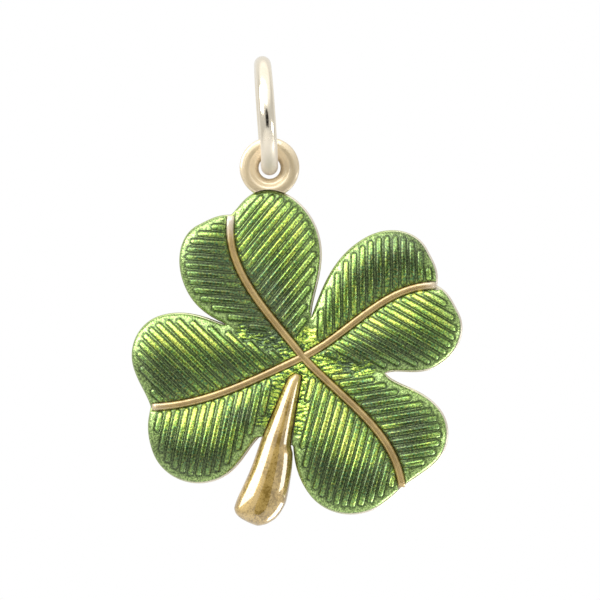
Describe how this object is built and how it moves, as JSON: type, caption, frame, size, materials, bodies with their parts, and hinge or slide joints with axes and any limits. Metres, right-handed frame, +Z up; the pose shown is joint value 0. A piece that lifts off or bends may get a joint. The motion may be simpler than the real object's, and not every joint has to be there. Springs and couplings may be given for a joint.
{
  "type": "four leaf clover pendant",
  "caption": "Enamelled four leaf clover pendant: a domed gold casting with raised veins, a stem and a bail eye, ribbed green enamel fields and a jump ring.",
  "frame": {"origin": "the point at the inside top of the jump ring where a chain bears", "axes": "+Z up along the hanging pendant, the clover faces -Y, +X to the viewer's right"},
  "size_m": [0.0158, 0.0056, 0.0225],
  "materials": {
    "ring_gold": "polished pale champagne gold, drawn round wire",
    "casting_gold": "polished gold with a fine cast grain in the recesses",
    "green_enamel": "glossy translucent leaf green enamel over a ribbed metallic ground"
  },
  "bodies": {
    "ring": {"jump_ring": "ring_gold"},
    "clover": {"clover_casting": "casting_gold", "enamel_top": "green_enamel", "enamel_left": "green_enamel", "enamel_bottom": "green_enamel", "enamel_right": "green_enamel"}
  },
  "joints": [
    {"name": "clover_swing", "type": "hinge", "parent": "ring", "child": "clover", "pos_m": [0.00031, 0, -0.00449], "axis": [0, 1, 0], "range_deg": [-144, 116]}
  ]
}
